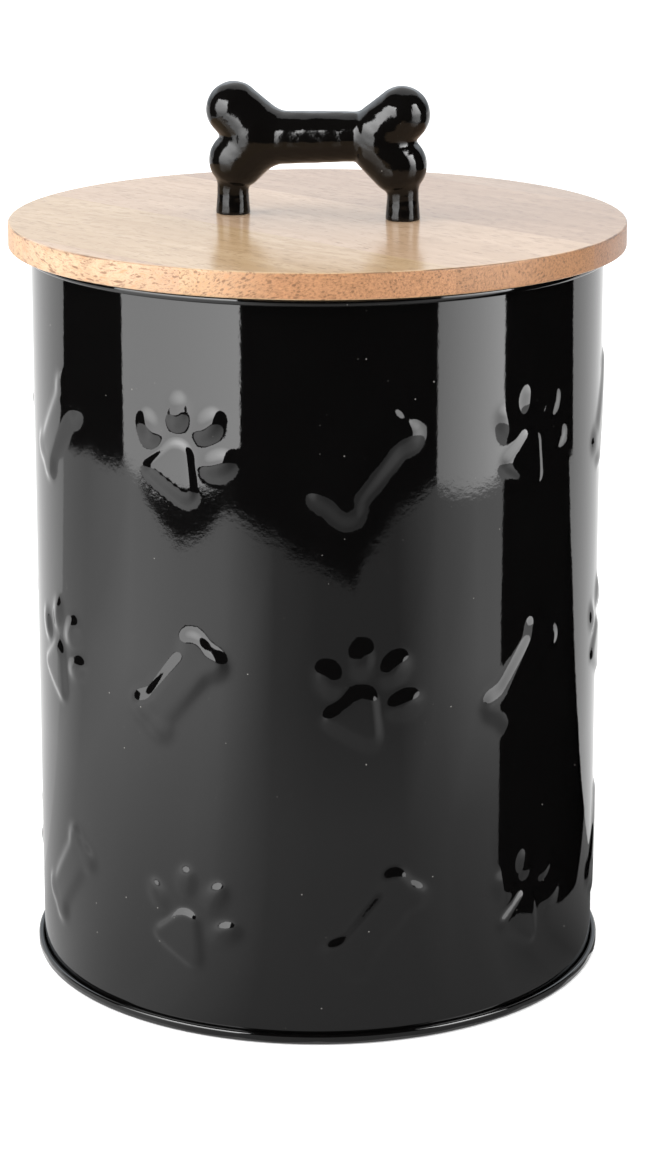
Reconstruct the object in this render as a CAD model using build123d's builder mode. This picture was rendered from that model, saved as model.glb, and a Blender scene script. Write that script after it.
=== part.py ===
"""A round pet food bin: an embossed steel tin, a glued wooden lid and a cast bone handle.

The origin is on the floor at the centre of the base. +Z is up and +X runs along the
handle. All sizes are in millimetres. Angles round the wall are in degrees, from the
front (-Y) towards +X.
"""

from math import cos, radians, sin
import os

from build123d import *

# ---------------------------------------------------------------- driving dimensions
SHEET = 0.5  # steel of the wall and the base
FIT = 0.05  # gap between folded layers

# wall and rolled rim
WALL_R = 102.0  # outside of the wall
RIM_Z = 262.1  # top of the rolled rim
WIRE_R = 1.08
CURL_R = WIRE_R + 0.02 + SHEET  # outside of the rolled rim's section
WALL_IN = WALL_R - SHEET
CURL_MID_R = WALL_IN + CURL_R
CURL_MID_Z = RIM_Z - CURL_R
CURL_GAP = 35.0  # opening left between the end of the curl and the wall, degrees

# folded seam that joins the wall to the base
SEAM_H = 3.4
HOOK_LOW = SHEET + FIT  # underside of the wall's own hook
HOOK_OUT = WALL_R + 1.5
HOOK_TOP = SEAM_H - SHEET - 0.25
COVER_LOW = HOOK_LOW + SHEET + 0.15
BASE_Z = 4.0  # underside of the recessed base
BASE_R = WALL_IN - FIT
SEAM_OUT = HOOK_OUT + 0.25 + SHEET
BEAD_R = 80.0  # stiffening bead pressed into the base
BEAD_W = 6.0
BEAD_H = 0.8

# lock seam down the back of the wall
LOCK_ANGLE = 184.3
LOCK_W = 6.0
LOCK_H = 0.9
LOCK_Z = (SEAM_H + 1.2, RIM_Z - 2 * CURL_R - 1.2)

# embossed paws and bones, pushed out of the wall
BOSS_H = 1.0
SHOULDER = 45.0  # slope of a pad's side, degrees
REACH = 2.0  # how far a pad's blank starts inside the surface it rises from
COLUMNS = 10
PITCH = 360 / COLUMNS
FIRST_COLUMN = -13.7
PAW_HEIGHTS = (42.5, 125.5, 209.0)  # one for each row, from the bottom
PAW_TURNS = (0.9, -0.2, 0.3)  # each row's small turn round the wall, degrees
PAW_TILT = -22.0
PAW_DROP = 13.0  # the toes' common centre, below the middle of the paw
PAD_CORNERS = ((-12.6, -1.7), (14.8, -6.1), (0.0, 22.4))  # before rounding
PAD_ROUNDS = (3.5, 4.2, 6.0)
TOE_ANGLES = (45.0, 13.5, -14.0, -45.0)  # anticlockwise from the paw's own axis
TOE_REACHES = (19.0, 24.5, 25.3, 19.8)
TOE_R = 5.3
TOE_STRETCH = 4.0
BONE_HEIGHTS = (42.0, 125.0, 205.5)
BONE_TURNS = (2.1, -1.3, -0.2)
BONE_TILT = 51.0
BONE_SPAN = 32.0
KNUCKLE_APART = 10.6
KNUCKLE_R = 6.0
SHAFT_W = 16.4

# lid: five staves glued edge to edge, with a locating plug glued underneath
LID_R = 110.0
LID_Z = RIM_Z + 0.3
LID_T = 9.0
LID_TOP = LID_Z + LID_T
LID_EDGE = 0.7
STAVE_W = 64.9
STAVE_SHIFT = -4.95  # middle stave's own middle, off the lid's centre
STAVE_ANGLE = 57.2  # direction across the staves, from +X
STAVES = 5
PLUG_R = 98.5
PLUG_T = 9.0
PLUG_Z = LID_Z - PLUG_T
GROOVE_DEPTH = 2.5
GROOVE_Z = (PLUG_Z + 2.5, PLUG_Z + 6.5)
GASKET_OUT = WALL_IN - 0.3
GASKET_LIP_Z = PLUG_Z + 3.2

# bone handle, measured up from the lid
FOOT_X = 31.0
FOOT_R = 6.2
NECK_R = 5.6
NECK_H = 7.5
LOBE_X = (29.2, 30.5)  # lower and upper knuckles
LOBE_H = (19.4, 37.4)
LOBE_R = (10.3, 10.0)
BAR_H = 28.4
BAR_R = 9.2
SOFTEN = 1.6  # fillet where the handle's round forms meet

# screws up through the plug and the middle stave
SCREW_R = 2.0
SCREW_HOLE_R = 2.25
THREAD_R = SCREW_R + 0.02
SCREW_L = 20.0
HEAD_R = 3.9
HEAD_H = 2.6
RECESS_DEPTH = 1.5
RECESS_L = 4.4
RECESS_W = 1.0
POCKET_R = 5.4
POCKET_H = 5.0
WASHER_R = 4.5
WASHER_T = 0.8
WASHER_Z = PLUG_Z + POCKET_H - WASHER_T
THREAD_DEPTH = 8.5


def wall_plane(angle, height, distance, tilt=0.0, drop=0.0):
    """A plane square to the wall's radius, turned by tilt and moved down its own Y."""
    out = Vector(sin(radians(angle)), -cos(radians(angle)), 0)
    across = Vector(cos(radians(angle)), sin(radians(angle)), 0)
    up = Vector(0, 0, 1)
    x_dir = across * cos(radians(tilt)) + up * sin(radians(tilt))
    origin = out * distance + up * height - out.cross(x_dir) * drop
    return Plane(origin=origin, x_dir=x_dir, z_dir=out)


def motif_planes(parity, heights, turns, distance, tilt, drop):
    """The planes of every second motif; paws and bones take turns in both directions."""
    places = []
    for row, (height, turn) in enumerate(zip(heights, turns)):
        for column in range(COLUMNS):
            if (row + column) % 2 == parity:
                angle = FIRST_COLUMN + PITCH * column + turn
                places.append(wall_plane(angle, height, distance, tilt, drop))
    return places


def ring_section(inner, outer, low, high):
    """A rectangle in the R-Z section of a turned piece."""
    with Locations(((inner + outer) / 2, (low + high) / 2)):
        Rectangle(outer - inner, high - low)


def paw_blank(grow):
    """A paw's five pads with sloped sides, lying on XY, as wide as grow adds all round."""
    with BuildPart() as blank:
        with BuildSketch() as outline:
            Polygon(*PAD_CORNERS, align=None)
            for (x, y), radius in zip(PAD_CORNERS, PAD_ROUNDS):
                corner = outline.vertices().sort_by_distance((x, y, 0))[0]
                fillet(corner, radius=radius)
            offset(amount=grow)
        extrude(amount=2 * REACH, taper=SHOULDER)
        for angle, reach in zip(TOE_ANGLES, TOE_REACHES):
            turn = radians(90 + angle)
            with BuildSketch():
                with Locations((reach * cos(turn), reach * sin(turn))):
                    SlotCenterToCenter(TOE_STRETCH, 2 * (TOE_R + grow), rotation=90 + angle)
            extrude(amount=2 * REACH, taper=SHOULDER)
    return blank.part


def bone_blank(grow):
    """A bone with sloped sides, lying along X on XY, as wide as grow adds all round."""
    with BuildPart() as blank:
        with BuildSketch():
            Rectangle(BONE_SPAN, SHAFT_W + 2 * grow)
            with GridLocations(BONE_SPAN, KNUCKLE_APART, 2, 2):
                Circle(KNUCKLE_R + grow)
        extrude(amount=2 * REACH, taper=SHOULDER)
    return blank.part


def pads(surface_r, inner_r, grow):
    """All paws and bones as blanks that rise out of a cylinder of surface_r."""
    start = surface_r - REACH
    paw = paw_blank(grow)
    bone = bone_blank(grow)
    with BuildPart() as blanks:
        with Locations(*motif_planes(0, PAW_HEIGHTS, PAW_TURNS, start, PAW_TILT, PAW_DROP)):
            add(paw)
        with Locations(*motif_planes(1, BONE_HEIGHTS, BONE_TURNS, start, BONE_TILT, 0)):
            add(bone)
        with BuildSketch():
            Circle(surface_r + BOSS_H)
            Circle(inner_r, mode=Mode.SUBTRACT)
        extrude(amount=RIM_Z, mode=Mode.INTERSECT)
    return blanks.part


# ---------------------------------------------------------------- the tin
outer_pads = pads(WALL_R, WALL_R - SHEET / 2, REACH)
inner_pads = pads(WALL_IN, WALL_IN - REACH, REACH - 0.2)

with BuildPart() as bin_shell:
    with BuildSketch(Plane.XZ):
        ring_section(WALL_IN, WALL_R, HOOK_LOW, CURL_MID_Z)
        ring_section(WALL_IN, HOOK_OUT, HOOK_LOW, HOOK_LOW + SHEET)
        ring_section(HOOK_OUT - SHEET, HOOK_OUT, HOOK_LOW, HOOK_TOP)
    revolve(axis=Axis.Z)
    with BuildSketch(Plane.XZ):
        with Locations((CURL_MID_R, CURL_MID_Z)):
            Circle(CURL_R)
            Circle(CURL_R - SHEET, mode=Mode.SUBTRACT)
        with BuildLine():
            gap_start = Vector(CURL_MID_R, CURL_MID_Z)
            far = 2 * CURL_R
            edge_a = gap_start + Vector(-far * cos(radians(2)), -far * sin(radians(2)))
            edge_b = gap_start + Vector(-far * cos(radians(CURL_GAP)), -far * sin(radians(CURL_GAP)))
            Polyline(gap_start, edge_a, edge_b, close=True)
        make_face(mode=Mode.SUBTRACT)
    revolve(axis=Axis.Z)
    add(outer_pads)
    with BuildSketch(wall_plane(LOCK_ANGLE, sum(LOCK_Z) / 2, WALL_IN + SHEET / 2)):
        Rectangle(LOCK_W, LOCK_Z[1] - LOCK_Z[0])
    extrude(amount=LOCK_H + SHEET / 2)
    add(inner_pads, mode=Mode.SUBTRACT)
bin_shell.part.label = "bin_shell"

with BuildPart() as rim_wire:
    with BuildSketch(Plane.XZ):
        with Locations((CURL_MID_R, CURL_MID_Z)):
            Circle(WIRE_R)
    revolve(axis=Axis.Z)
rim_wire.part.label = "rim_wire"

with BuildPart() as base_pan:
    with BuildSketch(Plane.XZ):
        ring_section(0, BASE_R, BASE_Z, BASE_Z + SHEET)
        ring_section(BASE_R - SHEET, BASE_R, 0, BASE_Z + SHEET)
        ring_section(BASE_R - SHEET, SEAM_OUT, 0, SHEET)
        ring_section(SEAM_OUT - SHEET, SEAM_OUT, 0, SEAM_H)
        ring_section(WALL_R + FIT + 0.2, SEAM_OUT, SEAM_H - SHEET, SEAM_H)
        ring_section(WALL_R + FIT + 0.2, WALL_R + FIT + 0.2 + SHEET, COVER_LOW, SEAM_H)
        ring_section(BEAD_R - BEAD_W / 2, BEAD_R + BEAD_W / 2, BASE_Z - BEAD_H, BASE_Z + SHEET - BEAD_H)
        for side in (-1, 1):
            middle = BEAD_R + side * BEAD_W / 2
            ring_section(middle - SHEET / 2, middle + SHEET / 2, BASE_Z - BEAD_H, BASE_Z + SHEET)
        ring_section(
            BEAD_R - (BEAD_W - SHEET) / 2,
            BEAD_R + (BEAD_W - SHEET) / 2,
            BASE_Z + SHEET - BEAD_H,
            BASE_Z + SHEET,
        )
    revolve(axis=Axis.Z)
    rim_edges = base_pan.edges().filter_by(GeomType.CIRCLE).filter_by_position(Axis.Z, SEAM_H, SEAM_H)
    fillet(rim_edges.sort_by(SortBy.RADIUS)[-1], radius=0.35)
base_pan.part.label = "base_pan"

# ---------------------------------------------------------------- the lid
staves = []
for number in range(STAVES):
    middle = STAVE_SHIFT + STAVE_W * (number - (STAVES - 1) / 2)
    stave_plane = Plane.XY.rotated((0, 0, STAVE_ANGLE)).offset(LID_Z)
    with BuildPart() as stave:
        with BuildSketch(Plane.XY.offset(LID_Z)):
            Circle(LID_R)
        extrude(amount=LID_T)
        chamfer(stave.edges().filter_by(GeomType.CIRCLE), length=LID_EDGE)
        with BuildSketch(stave_plane):
            with Locations((middle, 0)):
                Rectangle(STAVE_W, 2 * LID_R + 1)
        extrude(amount=LID_T, mode=Mode.INTERSECT)
        with BuildSketch(Plane.XY.offset(LID_Z)):
            with Locations((-FOOT_X, 0), (FOOT_X, 0)):
                Circle(SCREW_HOLE_R)
        extrude(amount=LID_T, mode=Mode.SUBTRACT)
    stave.part.label = f"lid_stave_{number + 1}"
    staves.append(stave.part)

with BuildPart() as lid_plug:
    with BuildSketch(Plane.XY.offset(PLUG_Z)):
        Circle(PLUG_R)
    extrude(amount=PLUG_T)
    bottom_edge = lid_plug.edges().filter_by(GeomType.CIRCLE).sort_by(Axis.Z)[0]
    chamfer(bottom_edge, length=1.0)
    with BuildSketch(Plane.XY.offset(GROOVE_Z[0])):
        Circle(PLUG_R + 1)
        Circle(PLUG_R - GROOVE_DEPTH, mode=Mode.SUBTRACT)
    extrude(amount=GROOVE_Z[1] - GROOVE_Z[0], mode=Mode.SUBTRACT)
    with Locations(Plane.XY.offset(PLUG_Z).rotated((180, 0, 0))):
        with Locations((-FOOT_X, 0), (FOOT_X, 0)):
            CounterBoreHole(SCREW_HOLE_R, POCKET_R, POCKET_H, depth=PLUG_T)
lid_plug.part.label = "lid_plug"

with BuildPart() as lid_gasket:
    with BuildSketch(Plane.XZ):
        ring_section(PLUG_R - GROOVE_DEPTH, PLUG_R, *GROOVE_Z)
        with BuildLine():
            root_low = (PLUG_R - 0.5, GROOVE_Z[0] + 0.6)
            tip = (GASKET_OUT, GASKET_LIP_Z + 2.6)
            tip_back = (GASKET_OUT - 0.7, GASKET_LIP_Z + 3.0)
            root_high = (PLUG_R - 0.5, GROOVE_Z[0] + 2.2)
            Polyline(root_low, tip, tip_back, root_high, close=True)
        make_face()
    revolve(axis=Axis.Z)
lid_gasket.part.label = "lid_gasket"

# ---------------------------------------------------------------- the handle
with BuildPart() as bone_handle:
    with BuildSketch(Plane.YZ.offset(-LOBE_X[1])):
        with Locations((0, LID_TOP + BAR_H)):
            Circle(BAR_R)
    extrude(amount=2 * LOBE_X[1])
    for side in (-1, 1):
        for x, height, radius in zip(LOBE_X, LOBE_H, LOBE_R):
            with Locations((side * x, 0, LID_TOP + height)):
                Sphere(radius)
        with Locations((side * FOOT_X, 0, LID_TOP + NECK_H / 2)):
            Cone(FOOT_R, NECK_R, NECK_H)
        with Locations((side * FOOT_X, 0, LID_TOP + NECK_H)):
            Cylinder(NECK_R, LOBE_H[0] - NECK_H, align=(Align.CENTER, Align.CENTER, Align.MIN))
    above_necks = LID_TOP + NECK_H + 0.3
    meetings = bone_handle.edges().filter_by(lambda edge: edge.bounding_box().min.Z > above_necks)
    fillet(meetings, radius=SOFTEN)
    with Locations(Plane.XY.offset(LID_TOP).rotated((180, 0, 0))):
        with Locations((-FOOT_X, 0), (FOOT_X, 0)):
            Hole(THREAD_R, depth=THREAD_DEPTH)
bone_handle.part.label = "bone_handle"

pieces = [bin_shell.part, rim_wire.part, base_pan.part, *staves]
pieces += [lid_plug.part, lid_gasket.part, bone_handle.part]

# ---------------------------------------------------------------- fasteners
for side, word in ((-1, "left"), (1, "right")):
    with BuildPart() as washer:
        with BuildSketch(Plane.XY.offset(WASHER_Z)):
            with Locations((side * FOOT_X, 0)):
                Circle(WASHER_R)
                Circle(SCREW_HOLE_R, mode=Mode.SUBTRACT)
        extrude(amount=WASHER_T)
    washer.part.label = f"handle_washer_{word}"

    with BuildPart() as screw:
        with BuildSketch(Plane.XY.offset(WASHER_Z)):
            with Locations((side * FOOT_X, 0)):
                Circle(HEAD_R)
        extrude(amount=-HEAD_H)
        fillet(screw.edges().filter_by(GeomType.CIRCLE).sort_by(Axis.Z)[0], radius=1.2)
        with BuildSketch(Plane.XY.offset(WASHER_Z)):
            with Locations((side * FOOT_X, 0)):
                Circle(SCREW_R)
        extrude(amount=SCREW_L)
        chamfer(screw.edges().filter_by(GeomType.CIRCLE).sort_by(Axis.Z)[-1], length=0.4)
        with BuildSketch(Plane.XY.offset(WASHER_Z - HEAD_H)):
            with Locations((side * FOOT_X, 0)):
                Rectangle(RECESS_L, RECESS_W)
                Rectangle(RECESS_W, RECESS_L)
        extrude(amount=RECESS_DEPTH, mode=Mode.SUBTRACT)
    screw.part.label = f"handle_screw_{word}"
    pieces += [washer.part, screw.part]

os.makedirs("parts", exist_ok=True)
for piece in pieces:
    export_step(piece, f"parts/{piece.label}.step", write_pcurves=False)
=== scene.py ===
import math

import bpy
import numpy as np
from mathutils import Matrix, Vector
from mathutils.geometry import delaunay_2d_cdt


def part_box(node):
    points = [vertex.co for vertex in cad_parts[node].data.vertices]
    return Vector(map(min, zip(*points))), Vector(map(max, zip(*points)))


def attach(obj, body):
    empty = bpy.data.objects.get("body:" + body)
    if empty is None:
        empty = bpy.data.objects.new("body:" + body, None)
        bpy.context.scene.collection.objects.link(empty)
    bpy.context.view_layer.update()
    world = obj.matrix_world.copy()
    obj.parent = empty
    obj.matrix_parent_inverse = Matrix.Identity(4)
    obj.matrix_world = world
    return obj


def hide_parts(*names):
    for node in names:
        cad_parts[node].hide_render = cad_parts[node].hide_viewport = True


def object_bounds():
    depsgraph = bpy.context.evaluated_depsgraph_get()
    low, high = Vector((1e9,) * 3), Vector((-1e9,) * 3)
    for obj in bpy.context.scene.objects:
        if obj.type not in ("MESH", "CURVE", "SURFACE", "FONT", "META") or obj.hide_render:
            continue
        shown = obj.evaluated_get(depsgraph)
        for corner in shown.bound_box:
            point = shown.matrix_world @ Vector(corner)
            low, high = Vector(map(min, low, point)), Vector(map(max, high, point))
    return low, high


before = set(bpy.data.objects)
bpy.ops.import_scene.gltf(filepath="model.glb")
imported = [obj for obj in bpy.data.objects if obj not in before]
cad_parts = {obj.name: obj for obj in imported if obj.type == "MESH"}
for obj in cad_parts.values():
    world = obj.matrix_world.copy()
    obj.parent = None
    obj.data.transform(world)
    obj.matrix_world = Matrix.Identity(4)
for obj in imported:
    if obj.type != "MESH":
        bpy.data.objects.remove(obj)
cad_low, cad_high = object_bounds()

# The looks of a round pet food bin: an embossed black enamelled tin, a lacquered wooden
# lid made of five glued staves, and a cast bone handle. Shapes are worked out in
# millimetres and turned into metres when a mesh is made. Angles round the tin are in
# degrees, from the front (-Y) towards +X.

MM = 0.001

# ------------------------------------------------------------------ sizes from the frame
shell_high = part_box("bin_shell")[1]
pan_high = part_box("base_pan")[1]
stave_low, stave_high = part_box("lid_stave_3")

SHEET = 0.5  # steel of the tin
RIM_Z = shell_high.z / MM  # top of the rolled rim
SEAM_OUT = pan_high.x / MM  # outside of the seam round the foot
LID_LOW = stave_low.z / MM
LID_TOP = stave_high.z / MM
LID_R = cad_high.x / MM

# ------------------------------------------------------------------ the tin
WALL_R = 102.0
CURL_R = 1.6  # outside of the rolled rim's section
CURL_MID_R = WALL_R - SHEET + CURL_R
CURL_MID_Z = RIM_Z - CURL_R
CURL_END = 50.0  # how far short of a full turn the rolled rim stops, degrees
BOSS_H = 1.0  # height of the paws and bones
SHOULDER_W = 5.6  # width of their soft sides
SHOULDER_OUT = 0.5  # how far the soft side runs out past the outline
COLUMN_STEP = 36.0  # degrees; ten columns of motifs go round the tin
SECTORS = 5  # the pattern repeats every two columns
FIRST_COLUMN = -13.7
MOTIF_REACH = 34.0  # no motif or shoulder reaches further from its middle
PAW_HEIGHTS = (42.5, 125.5, 209.0)  # of the three rows, from the bottom
PAW_TURNS = (0.9, -0.2, 0.3)  # how far each row stands off its columns
PAW_TILT = -22.0
PAW_DROP = 13.0
PAD_CIRCLES = ((-7.2, 1.0, 3.5), (7.2, -0.6, 4.2), (0.0, 9.4, 6.0))
PAD_STEEP = 2.3  # how much steeper the pad's sides are than the toes'
TOE_ANGLES = (45.0, 13.5, -14.0, -45.0)  # anticlockwise from the paw's own axis
TOE_REACHES = (19.0, 24.5, 25.3, 19.8)
TOE_HALF = (5.3, 7.3)  # half its width and half its length
TOE_BLEND = 1.6  # how softly the pad and the toes run into each other
BONE_HEIGHTS = (42.0, 125.0, 205.5)
BONE_TURNS = (2.1, -1.3, -0.2)
BONE_TILT = 51.0
BONE_STEEP = 1.25  # as PAD_STEEP
BONE_SPAN = 32.0
KNUCKLE_APART = 10.6
KNUCKLE_R = 6.0
KNUCKLE_MERGE = 3.0  # how far the two knuckles of an end run together
SHAFT_W = 16.4
SHAFT_BLEND = 3.0
LOCK_ANGLE = 184.3  # the seam down the back
LOCK_TOP_R = 102.9
LOCK_Z = (4.6, 257.7)

# ------------------------------------------------------------------ the lid
STAVE_ANGLE = 57.2  # direction across the staves, from +X
STAVE_JOINTS = (-102.3, -37.4, 27.5, 92.4)  # distance of each glue joint from the axis
LID_EDGE = 0.75  # rounding of the lid's edges
GROOVE_FLOOR = 96.0
GASKET_TIP = 101.2

# ------------------------------------------------------------------ the handle
FOOT_X = 31.0
FOOT_R = 6.2
NECK_R = 5.6
NECK_H = 7.5
LOBE_X = (29.2, 30.5)  # lower and upper knuckles
LOBE_H = (19.4, 37.4)
LOBE_R = (10.3, 10.0)
BAR_H = 28.4
BAR_R = 9.2
BAR_HALF = 25.0
BAR_CLIMB = 0.045  # the cast bar rises a little to the right
BAR_TAPER = 0.022  # and gets a little thinner
ROOT_X = 23.0  # where the knuckles grow out of the bar's thick end
ROOT_H = (26.0, 30.5)
ROOT_R = (10.6, 10.8)
LUMP_H = 0.045  # unevenness of the casting


# ------------------------------------------------------------------ mesh helpers
def add_piece(name, points, faces, normals, body, slot, look, replaced=()):
    """A smooth mesh piece; normals are one for each point, or one for each face corner."""
    mesh = bpy.data.meshes.new(name)
    mesh.from_pydata((np.asarray(points) * MM).tolist(), [], faces)
    mesh.update()
    mesh.shade_smooth()
    if len(normals) == len(points):
        mesh.normals_split_custom_set_from_vertices(normals)
    else:
        mesh.normals_split_custom_set(normals)
    mesh.materials.append(look)
    piece = bpy.data.objects.new(name, mesh)
    bpy.context.scene.collection.objects.link(piece)
    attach(piece, body)
    if replaced:
        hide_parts(*replaced)
    return piece


def wrap(degrees, r, z):
    """Points at an angle round the tin, a radius and a height."""
    turn = np.radians(degrees)
    return np.column_stack([r * np.sin(turn), -r * np.cos(turn), z + 0 * turn])


def soft_step(x):
    x = np.clip(x, 0, 1)
    return x * x * (3 - 2 * x)


def soft_min(a, b, width):
    """The smaller of two distances, blended where they differ by less than width."""
    overlap = np.clip(1 - np.abs(a - b) / width, 0, 1)
    return np.minimum(a, b) - width / 4 * overlap * overlap


def rounded(path, radius, steps=6):
    """An open path with every corner turned into an arc of about that radius."""
    path = np.asarray(path, float)
    made = [path[0]]
    for before, corner, after in zip(path[:-2], path[1:-1], path[2:]):
        back = before - corner
        on = after - corner
        room = min(np.linalg.norm(back), np.linalg.norm(on)) * 0.49
        back = back / np.linalg.norm(back)
        on = on / np.linalg.norm(on)
        half = math.acos(np.clip(back @ on, -1, 1)) / 2
        cut = min(radius / math.tan(half), room)
        start = corner + back * cut
        end = corner + on * cut
        middle = corner + (back + on) / np.linalg.norm(back + on) * cut / math.cos(half)
        for share in np.linspace(0, 1, steps + 1):
            spoke = (start - middle) * (1 - share) + (end - middle) * share
            made.append(middle + spoke / np.linalg.norm(spoke) * np.linalg.norm(start - middle))
    made.append(path[-1])
    return np.array(made)


def sideways(path):
    """The unit direction to the left of an open path at each of its points."""
    steps = np.diff(path, axis=0)
    steps = steps / np.linalg.norm(steps, axis=1)[:, None]
    along = np.vstack([steps[:1], steps[1:] + steps[:-1], steps[-1:]])
    along = along / np.linalg.norm(along, axis=1)[:, None]
    return np.column_stack([-along[:, 1], along[:, 0]])


def sheet_section(path):
    """The outline of a steel sheet bent along a path, up one side and back the other."""
    left = sideways(path) * SHEET / 2
    return np.vstack([path + left, (path - left)[::-1]])


def lathe(section, angles, closed):
    """Turns a section of (r, z) points about the axis. An open section may end on it."""
    section = np.asarray(section, float)
    nxt = np.roll(section, -1, axis=0)
    area = (section[:, 0] * nxt[:, 1] - nxt[:, 0] * section[:, 1]).sum() / 2
    sign = 1 if area > 0 else -1
    if closed:
        ring = np.vstack([section[-1:], section, section[:1]])
        left = sideways(ring)[1:-1]
    else:
        left = sideways(section)
    out = -sign * left
    count, columns = len(section), len(angles)
    points = np.vstack([wrap(angles, r, np.full(columns, z)) for r, z in section])
    normals = np.vstack([wrap(angles, r, np.full(columns, z)) for r, z in out])
    faces = []
    rows = range(count if closed else count - 1)
    for row in rows:
        other = (row + 1) % count
        for column in range(columns):
            beside = (column + 1) % columns
            quad = (
                row * columns + column,
                row * columns + beside,
                other * columns + beside,
                other * columns + column,
            )
            if section[row][0] < 1e-6:
                quad = (row * columns, quad[2], quad[3])
            elif section[other][0] < 1e-6:
                quad = (quad[0], quad[1], other * columns)
            faces.append(quad if sign > 0 else quad[::-1])
    return points, faces, normals


def weld(parts):
    """Joins (points, faces, normals) parts into one mesh, points in one place being one."""
    points = np.vstack([part[0] for part in parts])
    normals = np.vstack([part[2] for part in parts])
    faces = []
    start = 0
    for part in parts:
        faces += [[index + start for index in face] for face in part[1]]
        start += len(part[0])
    keys = np.round(points * 2000).astype(np.int64)
    kept, first, place = np.unique(keys, axis=0, return_index=True, return_inverse=True)
    place = place.reshape(-1)
    summed = np.zeros((len(kept), 3))
    np.add.at(summed, place, normals)
    lengths = np.linalg.norm(summed, axis=1)
    summed[lengths < 1e-9] = (0, 0, 1)
    summed = summed / np.maximum(lengths, 1e-9)[:, None]
    joined = []
    for face in faces:
        moved = [int(place[index]) for index in face]
        if len(set(moved)) == len(moved):
            joined.append(moved)
    return points[first], joined, summed


# ------------------------------------------------------------------ material helpers
class Look:
    """A material's node tree, built a node at a time."""

    def __init__(self, name, **values):
        self.material = bpy.data.materials.new(name)
        self.material.use_nodes = True
        self.tree = self.material.node_tree
        self.shader = self.tree.nodes["Principled BSDF"]
        for socket, value in values.items():
            self.shader.inputs[socket.replace("_", " ")].default_value = value
        self.place = self.tree.nodes.new("ShaderNodeTexCoord")

    def node(self, kind, settings=None, **inputs):
        """Adds a node. An input is a number, a colour, or the output that feeds it."""
        made = self.tree.nodes.new("ShaderNode" + kind)
        for key, value in (settings or {}).items():
            setattr(made, key, value)
        for socket, value in inputs.items():
            self.feed(made, socket.replace("_", " "), value)
        return made

    def feed(self, node, socket, value):
        if isinstance(value, bpy.types.NodeSocket):
            self.tree.links.new(value, node.inputs[socket])
        else:
            node.inputs[socket].default_value = value

    def math(self, operation, a, b=0.5, clamp=False):
        made = self.tree.nodes.new("ShaderNodeMath")
        made.operation = operation
        made.use_clamp = clamp
        self.feed(made, 0, a)
        self.feed(made, 1, b)
        return made.outputs[0]

    def spread(self, value, low, high, to_low=0.0, to_high=1.0):
        """Carries the range low..high over to to_low..to_high, and stops at its ends."""
        made = self.tree.nodes.new("ShaderNodeMapRange")
        self.feed(made, "Value", value)
        made.inputs["From Min"].default_value = low
        made.inputs["From Max"].default_value = high
        made.inputs["To Min"].default_value = to_low
        made.inputs["To Max"].default_value = to_high
        return made.outputs["Result"]

    def noise(self, scale, detail=2.0, vector=None, roughness=0.5):
        made = self.node(
            "TexNoise",
            Vector=vector or self.place.outputs["Object"],
            Scale=scale,
            Detail=detail,
            Roughness=roughness,
        )
        return made.outputs["Fac"]

    def cells(self, scale, vector=None):
        """A Voronoi pattern's distance to the nearest cell centre, and its colour."""
        made = self.node("TexVoronoi", Vector=vector or self.place.outputs["Object"], Scale=scale)
        return made.outputs["Distance"], made.outputs["Color"]

    def stretch(self, vector, scale):
        made = self.node("Mapping", Vector=vector, Scale=scale)
        return made.outputs["Vector"]

    def mix(self, share, a, b):
        made = self.tree.nodes.new("ShaderNodeMix")
        made.data_type = "RGBA"
        self.feed(made, 0, share)
        for socket, value in ((6, a), (7, b)):
            if isinstance(value, bpy.types.NodeSocket):
                self.tree.links.new(value, made.inputs[socket])
            else:
                made.inputs[socket].default_value = (*value, 1.0)
        return made.outputs[2]

    def bump(self, height, distance, before=None):
        """Relief of that many metres for a height of one, on top of an earlier relief."""
        made = self.node("Bump", Height=height, Distance=distance, Strength=1.0)
        if before is not None:
            self.tree.links.new(before, made.inputs["Normal"])
        return made.outputs["Normal"]

    def colour(self, value):
        self.feed(self.shader, "Base Color", value)

    def rough(self, value):
        self.feed(self.shader, "Roughness", value)

    def relief(self, value):
        self.feed(self.shader, "Normal", value)


def enamel_look(name, index, tint, gloss, peel, wave):
    """Glossy black enamel: orange peel, slower waves, and a little light dust on it."""
    look = Look(name, IOR=index)
    peel_scale, peel_height = peel
    wave_scale, wave_height = wave
    grain = look.noise(peel_scale, 4.0, roughness=0.6)
    swell = look.noise(wave_scale, 1.0)
    shade = look.mix(look.noise(60.0, 3.0), tint, [channel * 1.4 for channel in tint])
    dusts = []
    for size, share in ((150.0, 0.62), (420.0, 0.90)):
        spot, kind = look.cells(size)
        chosen = look.node("SeparateColor", Color=kind).outputs["Red"]
        dusty = look.math("GREATER_THAN", chosen, share)
        dusts.append(look.math("MULTIPLY", look.spread(spot, 0.02, 0.05, 1.0, 0.0), dusty))
    dust = look.math("MAXIMUM", *dusts)
    look.colour(look.mix(look.math("MULTIPLY", dust, 0.6), shade, (0.26, 0.25, 0.23)))
    haze = look.spread(look.noise(25.0, 3.0), 0.3, 0.7, gloss, gloss * 1.6)
    look.rough(look.math("ADD", haze, look.math("MULTIPLY", dust, 0.5)))
    look.relief(look.bump(grain, peel_height, look.bump(swell, wave_height)))
    return look.material


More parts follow.
